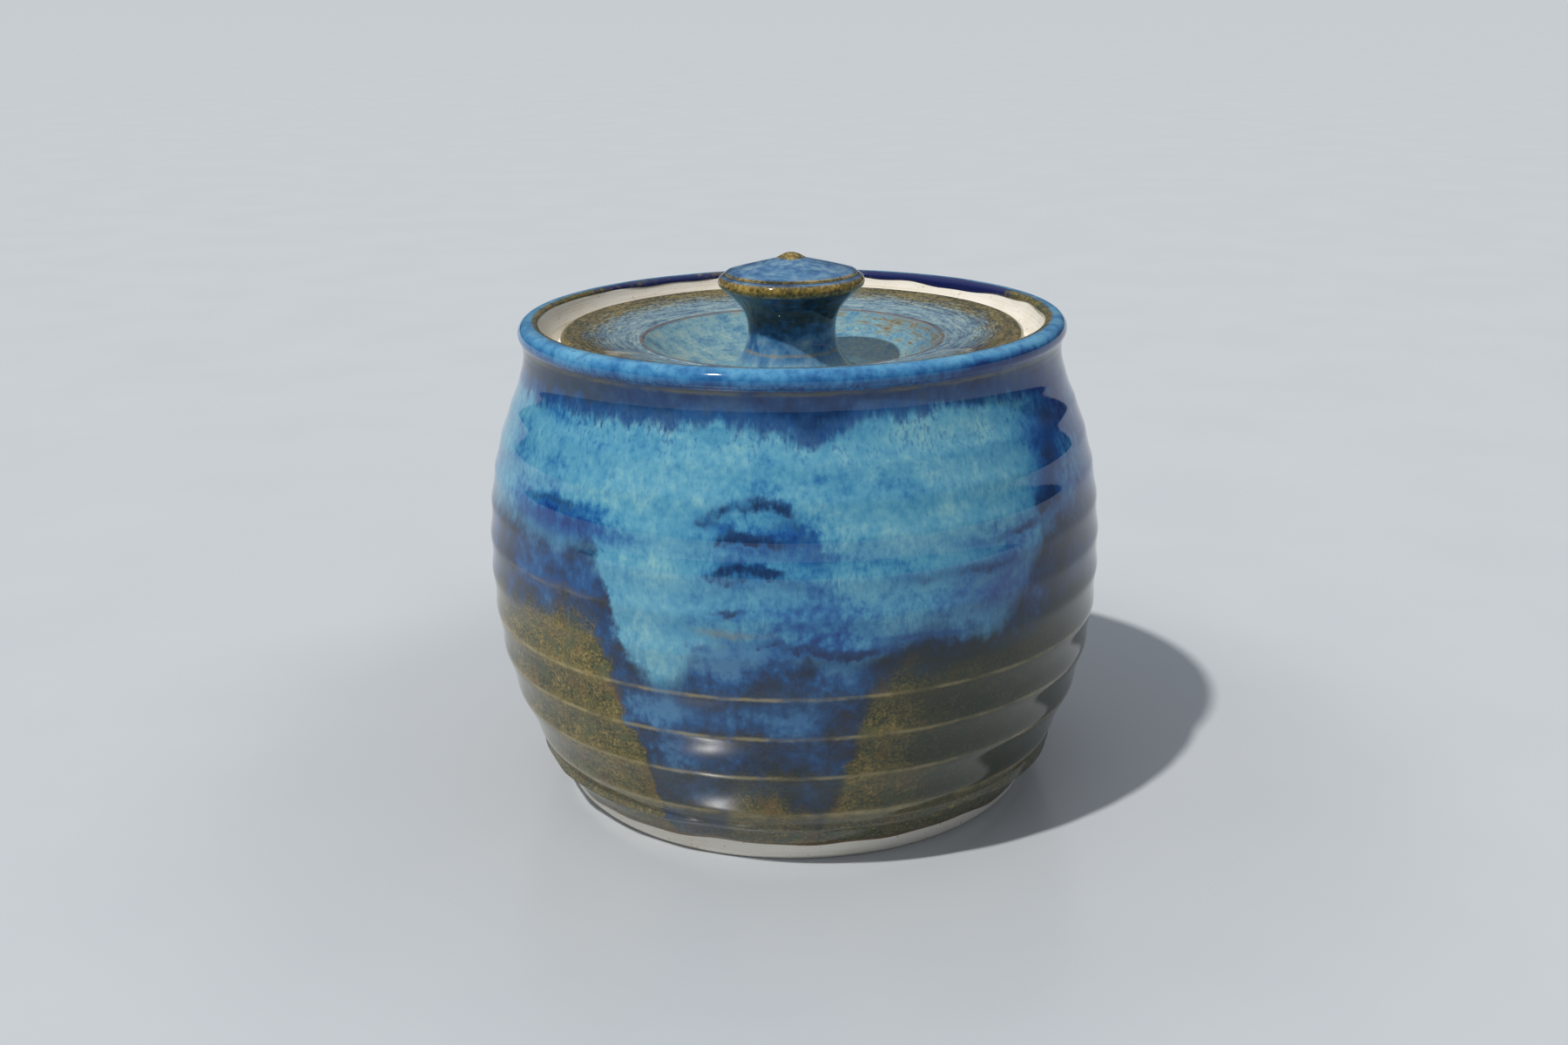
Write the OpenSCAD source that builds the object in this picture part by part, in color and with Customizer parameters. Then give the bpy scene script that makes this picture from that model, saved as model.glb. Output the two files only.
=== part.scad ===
// Wheel-thrown stoneware jar with a sunken lift-off lid and a thrown knob.
// Millimetres. The jar stands on z = 0 and its axis is Z.
// Every piece is a turned outline. A path along a surface runs with the air on its right,
// so a coat of glaze is that path and the same path moved out to the air side.

/* [Jar wall] */
// Height of the clay, table to top of the rim
jar_h = 112.8; // [95:0.1:150]
// Lean of the wall where it leaves the foot, mm out per mm up
foot_lean = 0.72; // [0.4:0.02:0.9]
// Diameter of the belly, the widest place
belly_d = 145; // [132:0.5:170]
// Height of the belly
belly_z = 56.8; // [44:0.1:68]
// How far the shoulder stands out past the neck
shoulder_out = 4.3; // [2:0.1:6]
// Distance of the shoulder below the rim
shoulder_drop = 20.5; // [16:0.5:26]
// Lean of the wall at the shoulder, mm in per mm up
shoulder_lean = 0.4; // [0.2:0.02:0.6]
// Distance of the neck below the rim
neck_drop = 6; // [5.2:0.1:8]
// How far the neck is set in from the rim
neck_in = 1.1; // [0.6:0.1:1.8]
// Thickness of the wall
wall_t = 5.5; // [4:0.1:7]
// Thickness of the floor
floor_t = 6.5; // [5:0.1:9]
// Radius between the floor and the wall, inside
floor_round = 14; // [8:0.5:20]

/* [Foot] */
// Diameter of the trimmed foot, at its bottom edge
foot_d = 113.4; // [96:0.2:126]
// Height of the trimmed foot
foot_h = 4.7; // [3.4:0.1:6.5]
// How far the trimmed foot stands out at its top
foot_flare = 0.3; // [0:0.1:1]
// Bevel under the bottom edge
foot_bevel = 1.4; // [0.8:0.1:2]
// Width of the turned ring that the jar stands on
foot_ring_w = 9; // [5:0.5:16]
// Depth of the hollow inside the ring
foot_hollow = 1.6; // [0.8:0.1:3]

/* [Throwing rings] */
// Height of the lowest full ring
ring_z = 15.3; // [12:0.1:18]
// Distance from one ring to the next, low on the wall
ring_pitch = 11; // [9:0.1:13]
// Distance from one ring to the next, at the shoulder
ring_pitch_top = 7; // [5:0.1:8.5]
// Depth of the hollow between two rings, low on the wall
ring_depth = 0.7; // [0.2:0.05:1.2]
// Share of that depth that is left at the shoulder
ring_fade = 0.3; // [0.1:0.05:1]

/* [Rim and gallery] */
// Outside diameter of the rolled rim
rim_d = 126.8; // [116:0.2:136]
// Width of the rim
rim_w = 4.6; // [4.2:0.1:6]
// Radius of the roll on the rim's outside
rim_roll = 2; // [1.6:0.1:2.4]
// Radius on the rim's inner edge
rim_edge = 1.2; // [0.6:0.1:1.6]
// Depth of the gallery, rim to ledge
gallery_drop = 6.9; // [5.5:0.1:9]
// How far the gallery narrows down to the ledge
gallery_lean = 2.3; // [1:0.1:3.5]
// Radius between the gallery and the ledge
gallery_round = 0.8; // [0.4:0.1:1.4]
// Width of the ledge that the lid sits on
ledge_w = 7; // [5.5:0.1:9]
// Thickness of the ledge at the mouth
ledge_t = 3.5; // [2.5:0.1:5]
// Radius on the ledge's edge, round the mouth
ledge_edge = 0.6; // [0.3:0.1:1]
// Slope under the ledge, mm down per mm out
ledge_slope = 0.6; // [0.4:0.05:0.9]

/* [Lid] */
// Gap between the lid's edge and the gallery
lid_gap = 2.6; // [1.6:0.1:3.4]
// Gap between the lid's bowl and the mouth
bowl_gap = 1.6; // [1:0.1:2.4]
// Bare bevel where the bowl leaves the seat
bowl_bevel = 1.2; // [0.6:0.1:2]
// Thickness of the lid's edge, on the ledge
lid_edge_t = 4; // [3.4:0.1:5.5]
// Radius on the lid's edge
lid_edge_round = 1.7; // [0.8:0.1:2]
// Thickness of the lid inside its edge
lid_t = 4.8; // [4:0.1:6]
// Fall of the lid's top from its edge to the raised ring
lid_fall = 3.3; // [2:0.1:4.5]
// Diameter of the raised ring
lid_ring_d = 71; // [62:0.5:80]
// Height of the raised ring
lid_ring_h = 0.6; // [0.3:0.05:1]
// Width of the raised ring
lid_ring_w = 3.2; // [2:0.1:5]
// Depth of the dish inside the raised ring
dish_depth = 7.7; // [5:0.1:10]

/* [Knob] */
// Height of the knob above the dish
knob_h = 27.9; // [24:0.1:34]
// Diameter of the knob's cap
knob_d = 33.4; // [28:0.2:40]
// Diameter of the knob's foot, on the lid
knob_foot_d = 31; // [27:0.2:34]
// Diameter of the waist
waist_d = 19.6; // [15:0.2:23]
// Height of the waist above the dish
waist_h = 10.6; // [8:0.1:13]
// Thickness of the cap's edge, a thin bead on a thick one
cap_edge_t = 2.9; // [2.4:0.1:4]
// How far the thin bead is set in from the thick one
cap_step = 1.6; // [1:0.1:2.4]
// Rise of the cap from its edge to the tip
cap_rise = 2.8; // [2:0.1:4]
// Diameter of the tip
tip_d = 7; // [5:0.2:9]
// Height of the tip
tip_h = 1.4; // [0.8:0.1:2.2]

/* [Glaze] */
// Thickness of a coat of glaze
glaze_t = 0.5; // [0.3:0.05:0.8]
// Length over which a coat swells from its edge
glaze_edge = 1.5; // [0.8:0.1:2.5]
// Height of the bare wall left above the trimmed foot
bare_wall_h = 0.2; // [0.1:0.1:3]
// How far over the rim's inner edge the outer coat runs, in degrees
rim_wrap = 40; // [25:5:75]

/* [Hidden] */
$fn = 128;
// Steps in a long curve, in a small round and in the hollow between two rings
curve_n = 12;
round_n = 5;
ring_n = 8;
// Share of a ring's depth that stands out past the plain wall
ring_proud = 0.4;

clay_colour = "#e4dccb";
blue_colour = "#2f7fae";
olive_colour = "#6d6b45";

rim_r = rim_d / 2;
gallery_top_r = rim_r - rim_w;
gallery_r = gallery_top_r - gallery_lean;
mouth_r = gallery_r - ledge_w;
rim_edge_centre = [gallery_top_r + rim_edge, jar_h - rim_edge];
neck_r = rim_r - neck_in;
shoulder_r = neck_r + shoulder_out;
foot_top_r = foot_d / 2 + foot_flare;
stand_r = foot_d / 2 - foot_bevel;
glaze_line_z = foot_h + bare_wall_h;
neck_z = jar_h - neck_drop;
shoulder_z = jar_h - shoulder_drop;
ledge_z = jar_h - gallery_drop;

lid_r = gallery_r - lid_gap;
bowl_r = mouth_r - bowl_gap;
lid_top_z = ledge_z + lid_edge_t;
lid_ring = [lid_ring_d / 2, lid_top_z - lid_fall];
dish_z = lid_ring[1] - dish_depth;

knob_foot = [knob_foot_d / 2, dish_z];
waist = [waist_d / 2, dish_z + waist_h];
knob_top_z = dish_z + knob_h;
cap_top_z = knob_top_z - tip_h - cap_rise;
thick_bead_r = cap_edge_t / 3;
thin_bead_r = thick_bead_r / 2;

// Helpers for paths

function backwards(path) = [for (i = [len(path) - 1:-1:0]) path[i]];

function after_first(path) = [for (i = [1:len(path) - 1]) path[i]];

function line(a, b, n) = [for (i = [0:n]) a + (b - a) * i / n];

function arc(centre, r, from, to, n = round_n) =
    [for (i = [0:n]) let (a = from + (to - from) * i / n) centre + r * [cos(a), sin(a)]];

function bezier(a, b, c, d, n = curve_n) =
    [
        for (i = [0:n])
        let (t = i / n, s = 1 - t)
        s * s * s * a + 3 * s * s * t * b + 3 * s * t * t * c + t * t * t * d
    ];

// A curve whose handles reach some share of the way across and up, from each end
function flare(from, to, start, finish, n = curve_n) =
    let (span = to - from)
    bezier(
        from,
        from + [start[0] * span[0], start[1] * span[1]],
        to - [finish[0] * span[0], finish[1] * span[1]],
        to,
        n
    );

// A cubic from height z0 to height z1, with the radius and lean given at both ends
function swell(z, z0, r0, lean0, z1, r1, lean1) =
    let (h = z1 - z0, u = (z - z0) / h, v = 1 - u)
    r0 * v * v * (1 + 2 * u) + r1 * u * u * (1 + 2 * v) + h * u * v * (lean0 * v - lean1 * u);

// The jar's surface, from under the foot to the middle of the floor

// Radius of the outside at a height, before the throwing rings
function wall_r(z) =
    z < belly_z ? swell(z, foot_h, foot_top_r, foot_lean, belly_z, belly_d / 2, 0)
    : z < shoulder_z ? swell(z, belly_z, belly_d / 2, 0, shoulder_z, shoulder_r, -shoulder_lean)
    : swell(z, shoulder_z, shoulder_r, -shoulder_lean, neck_z, neck_r, 0);

// Throwing rings are closer together the higher they are: their pitch changes evenly with height.
// Rings are counted from the lowest full one, and either function turns the other's result back.
pitch_gain = (ring_pitch_top - ring_pitch) / (shoulder_z - ring_z);
function ring_at(z) = ln(1 + pitch_gain * (z - ring_z) / ring_pitch) / pitch_gain;
function ring_height(k) = ring_z + ring_pitch * (exp(pitch_gain * k) - 1) / pitch_gain;

// Round hollows that meet in low crests, fading to the shoulder and gone at the neck
function ring_cut(z) =
    let (up = max(0, min(1, (z - ring_z) / (shoulder_z - ring_z))),
         left = max(0, min(1, (neck_z - z) / (neck_z - shoulder_z))),
         hollow = abs(sin(180 * ring_at(z))))
    ring_depth * (1 - up * (1 - ring_fade)) * left * (hollow - ring_proud);

// Points up the outside, with one on each crest
function wall_path(from, to) =
    let (first = floor(ring_at(from) * ring_n) + 1,
         last = ceil(ring_at(to) * ring_n) - 1,
         heights = concat([from], [for (k = [first:last]) ring_height(k / ring_n)], [to]))
    [for (z = heights) [wall_r(z) - ring_cut(z), z]];

function foot_path() = [
    [0, foot_hollow],
    [stand_r - foot_ring_w - foot_hollow, foot_hollow],
    [stand_r - foot_ring_w, 0],
    [stand_r, 0],
    [foot_d / 2, foot_bevel]
];

function rim_path() = concat(
    arc([rim_r - rim_roll, jar_h - rim_roll], rim_roll, -50, 90, curve_n),
    arc(rim_edge_centre, rim_edge, 90, 90 + rim_wrap)
);

// The rest of the rim's inner edge, which stays bare
function bare_rim_path() = after_first(arc(rim_edge_centre, rim_edge, 90 + rim_wrap, 180));

function outside_path() = concat(wall_path(glaze_line_z, neck_z), rim_path());

function gallery_path() = concat(
    arc([gallery_r - gallery_round, ledge_z + gallery_round], gallery_round, 0, -90),
    arc([mouth_r + ledge_edge, ledge_z - ledge_edge], ledge_edge, 90, 180)
);

function inside_path() =
    let (lip = [mouth_r, ledge_z - ledge_t],
         high = lip[1] - ledge_slope * (shoulder_r - wall_t - mouth_r),
         low = floor_t + floor_round,
         wall = [for (z = [for (i = [0:curve_n]) high + (low - high) * i / curve_n]) [wall_r(z) - wall_t, z]],
         end = wall[curve_n],
         lean = end - wall[curve_n - 1],
         floor_edge = [end[0] - floor_round, floor_t])
    concat(
        line(lip, wall[0], round_n),
        after_first(wall),
        after_first(bezier(
            end, end + lean * floor_round / norm(lean) / 2, floor_edge + [floor_round / 2, 0], floor_edge
        )),
        [[0, floor_t]]
    );

// The lid's surface

// The hollow from a point beside the raised ring down to the foot of the knob
function dish_path(from, to) = flare(from, to, [0.3, 0.65], [0.45, 0]);

function lid_top_path() =
    let (half = lid_ring_w / 2,
         crest = lid_ring + [0, lid_ring_h],
         out = lid_ring + half * [1, lid_fall / (lid_r - lid_ring[0])],
         in = lid_ring - half * [1, 0.5])
    concat(
        arc([lid_r - lid_edge_round, lid_top_z - lid_edge_round], lid_edge_round, 0, 80),
        bezier(out, out - [half / 2, 0], crest + [half / 2, 0], crest, round_n),
        dish_path(in, knob_foot)
    );

// The same hollow underneath, one lid thickness lower, out to the bowl's brim
function lid_under_path() =
    let (drop = [0, lid_t], brim = [bowl_r - bowl_bevel, ledge_z - bowl_bevel])
    concat(
        [[0, dish_z - lid_t]],
        backwards(dish_path(lid_ring - drop, knob_foot - drop)),
        after_first(line(lid_ring - drop, brim, curve_n))
    );

function lid_seat_path() = [
    [bowl_r, ledge_z],
    [lid_r - lid_edge_round / 2, ledge_z],
    [lid_r, ledge_z + lid_edge_round / 2]
];

// The knob's surface, from its foot to its tip

function knob_path() =
    let (thick = arc([knob_d / 2 - thick_bead_r, cap_top_z - 2 * thick_bead_r], thick_bead_r, -55, 65),
         thin = arc([knob_d / 2 - cap_step - thin_bead_r, cap_top_z - thin_bead_r], thin_bead_r, 0, 90),
         tip = [tip_d / 2, cap_top_z + cap_rise])
    concat(
        flare(knob_foot, waist, [0.76, 0.27], [0, 0.35]),
        after_first(flare(waist, thick[0], [0, 0.55], [0.43, 0.27])),
        after_first(thick),
        thin,
        after_first(flare(thin[round_n], tip, [0.33, 0.38], [0.33, 0.33])),
        after_first(flare(tip, [0, knob_top_z], [0.3, 0.4], [0.4, 0], round_n))
    );

// A coat of glaze on a path, swelling from nothing at each open end

function lengths(path) =
    [for (i = 0, s = 0; i < len(path); s = s + norm(path[min(i + 1, len(path) - 1)] - path[i]), i = i + 1) s];

// The way out into the air, evened over two points each side, so that glaze fills a narrow groove
function air_side(path, i) =
    let (d = path[min(i + 2, len(path) - 1)] - path[max(i - 2, 0)], out = [d[1], -d[0]] / norm(d))
    path[i][0] > 0 ? out : [0, sign(out[1])];

function swollen(s) = let (u = min(s / glaze_edge, 1)) sqrt(u * (2 - u));

function coat(path, open_start = true, open_end = true) =
    let (s = lengths(path),
         end = len(path) - 1,
         first = open_start ? 1 : 0,
         last = open_end ? end - 1 : end)
    concat(path, [
        for (i = [last:-1:first])
        let (t = glaze_t * (open_start ? swollen(s[i]) : 1) * (open_end ? swollen(s[end] - s[i]) : 1))
        path[i] + t * air_side(path, i)
    ]);

module turned(outline) {
    rotate_extrude() polygon(outline);
}

module jar_body() {
    foot = concat(foot_path(), wall_path(foot_h, glaze_line_z));
    outside = concat(after_first(outside_path()), bare_rim_path());
    color(clay_colour) turned(concat(foot, outside, gallery_path(), inside_path()));
}

module lid_plate() {
    color(clay_colour) turned(concat(lid_under_path(), lid_seat_path(), lid_top_path(), [[0, dish_z]]));
}

module lid_knob() {
    color(clay_colour) turned(concat([[0, dish_z]], knob_path()));
}

module outer_glaze() {
    color(blue_colour) turned(coat(outside_path()));
}

module liner_glaze() {
    color(olive_colour) turned(coat(inside_path(), open_end = false));
}

module lid_glaze() {
    color(blue_colour) turned(coat(concat(lid_top_path(), after_first(knob_path())), open_end = false));
}

module lid_under_glaze() {
    color(olive_colour) turned(coat(lid_under_path(), open_start = false));
}

jar_body();
lid_plate();
lid_knob();
outer_glaze();
liner_glaze();
lid_glaze();
lid_under_glaze();
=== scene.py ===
# %% [markdown]
# # A lidded stoneware jar
# The real jar is thrown on a wheel, trimmed at the foot, dipped in an olive glaze and
# then poured over with blue. The CAD model already holds its exact outlines, so this
# lesson takes every outline from there, turns it again with a little of the hand's
# unevenness, and spends most of its effort on the glaze.

# %% Load the frame
import math

import bmesh
import bpy
import numpy as np
from mathutils import Matrix, Vector


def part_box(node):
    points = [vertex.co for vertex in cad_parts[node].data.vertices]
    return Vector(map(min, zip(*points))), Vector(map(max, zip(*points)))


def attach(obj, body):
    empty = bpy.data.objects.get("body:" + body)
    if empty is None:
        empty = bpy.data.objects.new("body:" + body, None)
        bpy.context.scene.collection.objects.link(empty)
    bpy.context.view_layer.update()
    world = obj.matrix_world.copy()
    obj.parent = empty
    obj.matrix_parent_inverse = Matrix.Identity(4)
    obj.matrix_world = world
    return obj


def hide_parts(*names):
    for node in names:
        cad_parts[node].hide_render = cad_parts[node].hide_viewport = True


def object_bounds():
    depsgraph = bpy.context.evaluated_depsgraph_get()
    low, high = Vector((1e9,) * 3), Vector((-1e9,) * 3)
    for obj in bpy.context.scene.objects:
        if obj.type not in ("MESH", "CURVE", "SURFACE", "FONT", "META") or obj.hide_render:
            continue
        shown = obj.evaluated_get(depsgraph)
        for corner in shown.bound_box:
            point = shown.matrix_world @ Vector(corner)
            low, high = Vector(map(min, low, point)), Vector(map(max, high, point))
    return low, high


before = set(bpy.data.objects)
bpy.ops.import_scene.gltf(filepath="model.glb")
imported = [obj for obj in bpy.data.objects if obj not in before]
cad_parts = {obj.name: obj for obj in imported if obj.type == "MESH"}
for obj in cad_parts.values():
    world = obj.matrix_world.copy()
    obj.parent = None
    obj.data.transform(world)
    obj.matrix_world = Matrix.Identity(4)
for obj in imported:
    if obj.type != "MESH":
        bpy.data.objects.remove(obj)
cad_low, cad_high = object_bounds()
MM = 0.001
print("CAD box in mm:", [round(c / MM, 2) for c in (*cad_low, *cad_high)])

# %% [markdown]
# ## From a CAD piece to its outline
# Every piece of the jar is turned, so one cut through the axis holds all of its shape. The
# outline could be typed in as points, but the CAD model already holds the exact one. The
# loose triangles of a CAD copy are merged, cut by the plane y = 0 with both sides cleared
# away, and then halved. What is left is a chain of edges: the half outline that a turner
# would cut from card as a template.

# %% Cut the half outline
SAME_POINT = 1e-6


def half_outline(node):
    """The outline of a turned CAD piece, as a chain of edges in the plane y = 0."""
    bm = bmesh.new()
    bm.from_mesh(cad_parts[node].data)
    bmesh.ops.remove_doubles(bm, verts=bm.verts[:], dist=SAME_POINT)
    for across, both in (((0, 1, 0), True), ((1, 0, 0), False)):
        everything = bm.verts[:] + bm.edges[:] + bm.faces[:]
        bmesh.ops.bisect_plane(
            bm, geom=everything, dist=SAME_POINT / 10, plane_co=(0, 0, 0), plane_no=across,
            clear_inner=True, clear_outer=both,
        )
    return bm


for node in sorted(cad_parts):
    trial = half_outline(node)
    reach = max(v.co.x for v in trial.verts)
    print(node, "outline of", len(trial.verts), "points, widest", round(reach / MM, 2))
    trial.free()

# %% [markdown]
# ## Turning the outline
# A Screw modifier would turn the chain too, but the spin operator gives the mesh at once,
# and its points can then be moved one by one. It goes through a full circle and merges the
# last step with the first. Glaze is a melted glass, so nothing in it has a knife edge: the
# chain of a coat is first divided once more, and its points are eased, all but the true
# corners.

# %% Ease and spin
STEPS = 192
CORNER = math.radians(30)


def ease(bm, cuts, passes):
    """Divides the chain's edges and rounds its small bends, leaving the corners."""
    if cuts:
        bmesh.ops.subdivide_edges(bm, edges=bm.edges[:], cuts=cuts)
    soft = [v for v in bm.verts if len(v.link_edges) == 2 and v.calc_edge_angle(0.0) < CORNER]
    for _ in range(passes):
        bmesh.ops.smooth_vert(
            bm, verts=soft, factor=0.5, use_axis_x=True, use_axis_y=True, use_axis_z=True,
        )


def turn(bm):
    """Spins the chain round the axis into one closed skin."""
    bmesh.ops.spin(
        bm, geom=bm.verts[:] + bm.edges[:], cent=(0, 0, 0), axis=(0, 0, 1), dvec=(0, 0, 0),
        angle=math.tau, steps=STEPS, use_merge=True,
    )
    bmesh.ops.remove_doubles(bm, verts=bm.verts[:], dist=SAME_POINT)
    bmesh.ops.recalc_face_normals(bm, faces=bm.faces[:])


# %% [markdown]
# ## The hand's unevenness
# A thrown wall is never quite round, and its finger rings climb and sink a little on the
# way round. A Displace modifier would move each mesh along its own normals and part the
# glaze from the clay. So one function moves the points of the clay, the glaze and the liner
# alike, and they stay face to face. It is still at the foot, the ledge and the rim, where
# pieces meet, and it only ever pulls inwards, so the jar keeps inside its CAD size.

# %% Wander of the wall
WALL_TOP = 96 * MM
PULL, LIFT = 0.11 * MM, 0.38 * MM
HAIR_LESS = 0.99995
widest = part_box("outer_glaze")[1].x
round_fit = min(-cad_low.x, cad_high.x, -cad_low.y, cad_high.y) / widest * HAIR_LESS
print("radius scale that keeps the turned wall in the CAD box:", round(round_fit, 6))


def by_hand(co):
    """A point of the jar's wall, moved as uneven throwing would leave it."""
    bearing = math.atan2(co.x, -co.y)
    share = min(max(co.z / WALL_TOP, 0.0), 1.0)
    loose = math.sin(math.pi * share) ** 2
    pull = PULL * loose * (1 + math.sin(2 * bearing + 0.7 + 3 * share))
    sway = math.sin(bearing + 0.4 + 4 * share) + 0.6 * math.sin(2 * bearing + 1.9 - 5 * share)
    radius = math.hypot(co.x, co.y)
    scale = round_fit - (pull / radius if radius > pull else 0.0)
    return Vector((co.x * scale, co.y * scale, co.z + LIFT * loose * sway))


# %% [markdown]
# ## Making a piece out of the turned skin
# Each piece takes the place of one CAD solid and rides on its body. Edges
# that bend sharply are marked, so that smooth shading doesn't smear across them.

# %% Finish a piece
SHARP = math.radians(40)


def piece_of(bm, name, node, body):
    """Stores the turned skin as an object that stands for a CAD node."""
    for edge in bm.edges:
        edge.smooth = edge.calc_face_angle(0.0) < SHARP
    for face in bm.faces:
        face.smooth = True
    mesh = bpy.data.meshes.new(name)
    bm.to_mesh(mesh)
    bm.free()
    made = bpy.data.objects.new(name, mesh)
    bpy.context.scene.collection.objects.link(made)
    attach(made, body)
    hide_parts(node)
    print(name, "has", len(mesh.polygons), "faces and stands for", node)
    return made


# %% [markdown]
# ## The clay jar
# The pot itself shows only at the gallery inside the rim and at the bare foot. It is
# turned from its own outline and moved by the hand function. Two stretches of the outline
# are kept for later, the wall just above the foot and the inside of the rim, because the
# edges of the glaze will slide along them.

# %% Turn the clay jar
FOOT_RADIUS, FOOT_TOP = 55 * MM, 12 * MM
CROWN_INSIDE, GALLERY_LOW = 61.5 * MM, 106.5 * MM
clay = half_outline("jar_body")
outline = [(v.co.x, v.co.z) for v in clay.verts]
foot_wall = sorted((z, x) for x, z in outline if x > FOOT_RADIUS and z < FOOT_TOP)
foot_heights, foot_radii = zip(*foot_wall)
rim_wall = [(x, z) for x, z in outline if x < CROWN_INSIDE and z > GALLERY_LOW]
rim_wall = np.array(sorted(rim_wall, reverse=True))
turn(clay)
for v in clay.verts:
    v.co = by_hand(v.co)
jar_clay = piece_of(clay, "jar_clay", "jar_body", "jar")

# %% [markdown]
# ## Numbering the finger rings
# Where the glaze crosses the crest of a finger ring it runs thin and breaks to tan, and
# in the hollows it pools dark. The material needs to know how far a point is from the
# nearest crest. The crests are the small outward bends of the coat's outline, so they are
# found there and every point gets a ring number: whole on a crest, a fraction between.

# %% Find the crests
BEND = math.radians(6)
LOWEST, HIGHEST = 8 * MM, 98 * MM
SAME_CREST = 2 * MM
coat = half_outline("outer_glaze")
bends = []
for v in coat.verts:
    middle = sum((e.other_vert(v).co for e in v.link_edges), Vector()) / 2
    if LOWEST < v.co.z < HIGHEST and v.co.x > middle.x and v.calc_edge_angle(0.0) > BEND:
        bends.append((v.co.z, v.co.x))
crests = []
for height, radius in sorted(bends):
    if crests and height - crests[-1][0] < SAME_CREST:
        crests[-1] = max(crests[-1], (height, radius), key=lambda p: p[1])
    else:
        crests.append((height, radius))
crest_heights = [p[0] for p in crests]
print("crests at mm", [round(h / MM, 2) for h in crest_heights])

# %% [markdown]
# ## The poured coat
# The coat hangs over the rim, down the outside and ends above the foot. Two numbers are
# kept on its points for the material: the ring number, and the hem, which is the way up
# from the lower edge in mm. They are written on the outline, and the spin carries them
# round.

# %% Ring and hem numbers
UNDER_CRESTS, OVER_CRESTS = 12 * MM, 30 * MM
ring_layer = coat.verts.layers.float.new("ring")
hem_layer = coat.verts.layers.float.new("hem")
coat_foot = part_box("outer_glaze")[0].z
known = [crest_heights[0] - UNDER_CRESTS, *crest_heights, crest_heights[-1] + OVER_CRESTS]
numbers = [-0.5, *range(len(crest_heights)), len(crest_heights) - 0.5]
for v in coat.verts:
    v[ring_layer] = np.interp(v.co.z, known, numbers)
    v[hem_layer] = (v.co.z - coat_foot) / MM
ease(coat, 1, 2)
turn(coat)
print("coat turned, with", len(coat.verts), "points")

# %% [markdown]
# A poured edge is never level. The lower edge is let down along the clay, more at the sides
# and the back than in front, and the inner edge runs down the gallery in short drips. A
# Boolean could cut such edges, but moving the coat's own edge keeps it closed and as thick
# as it was. A drip is given by its bearing and about half its width, in degrees, and by its
# length in mm.

# %% How far the edges run
BACK_RIGHT, BACK_LEFT, RIGHT = 138, -146, 92
DRIPS = [(BACK_RIGHT, 22, 1.7), (BACK_LEFT, 18, 0.8), (RIGHT, 24, 0.9)]


def hem_drop(bearing):
    """How far in mm the coat's lower edge hangs below its CAD line."""
    ripple = 0.22 * math.sin(7 * bearing + 0.5) + 0.16 * math.sin(13 * bearing + 2.1)
    ripple += 0.12 * math.sin(23 * bearing)
    return min(0.5 + 3.6 * (1 - math.cos(bearing)), 2.3) + ripple


def drip_length(bearing):
    """How far in mm the coat runs down inside the rim: most at the back, and some at the right."""
    length = 0.0
    for degrees, wide, longest in DRIPS:
        length += longest * math.exp(-((math.degrees(bearing) - degrees) / wide) ** 2)
    quick = 0.5 * math.sin(13 * bearing) * math.sin(4 * bearing + 0.8)
    quick += 0.25 * math.sin(23 * bearing + 1.2)
    return max(0.0, 0.15 + length * (1 + 0.5 * quick) + 0.12 * quick)


print("hem drop in front, mm:", round(hem_drop(0.0), 2), "and behind:", round(hem_drop(math.pi), 2))

# %% The way over the rim
FINE, A_STEP = 0.02 * MM, 0.05 * MM
COAT_ENDS_AT = 2.24 * MM
rim_ways = np.concatenate([[0.0], np.cumsum(np.hypot(*np.diff(rim_wall, axis=0).T))])
fine_ways = np.arange(0.0, rim_ways[-1], FINE)


def on_rim(way):
    """Radius and height of the clay at a way along the rim, from its crown into the gallery."""
    return np.interp(way, rim_ways, rim_wall[:, 0]), np.interp(way, rim_ways, rim_wall[:, 1])


fine_radii, fine_heights = on_rim(fine_ways)


def run_down(radius, height, longer):
    """A point of the coat's inner edge, slid down over the clay without sinking into it."""
    gaps = np.hypot(fine_radii - radius, fine_heights - height)
    way = fine_ways[gaps.argmin()] * (1 + longer / COAT_ENDS_AT)
    (near_r, near_z), (next_r, next_z) = on_rim(way), on_rim(way + A_STEP)
    along = Vector((next_r - near_r, next_z - near_z)).normalized()
    return near_r + along.y * gaps.min(), near_z - along.x * gaps.min()


print("way from the crown into the gallery, mm:", round(rim_ways[-1] / MM, 2))

# %% Shape the coat's edges
HEM_TOP, RIM_FROM = 16 * MM, 109 * MM
for v in coat.verts:
    bearing = math.atan2(v.co.x, -v.co.y)
    radius = math.hypot(v.co.x, v.co.y)
    new_radius, new_height = radius, v.co.z
    if v.co.z < HEM_TOP:
        near = 1 - (v.co.z - coat_foot) / (HEM_TOP - coat_foot)
        new_height -= hem_drop(bearing) * MM * near**2
        was, now = np.interp([v.co.z, new_height], foot_heights, foot_radii)
        new_radius += now - was
    if v.co.z > RIM_FROM and radius < rim_wall[0, 0]:
        new_radius, new_height = run_down(radius, v.co.z, drip_length(bearing) * MM)
    v.co = by_hand(Vector((v.co.x / radius * new_radius, v.co.y / radius * new_radius, new_height)))
jar_glaze = piece_of(coat, "jar_glaze", "outer_glaze", "jar")

# %% [markdown]
# ## The liner
# The inside is lined with a plain olive glaze, seen when the lid is off. It lies on the
# inside of the clay, so it gets the same turning and the same wander.

# %% Turn the liner
liner = half_outline("liner_glaze")
turn(liner)
for v in liner.verts:
    v.co = by_hand(v.co)
jar_liner = piece_of(liner, "jar_liner", "liner_glaze", "jar")

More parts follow.
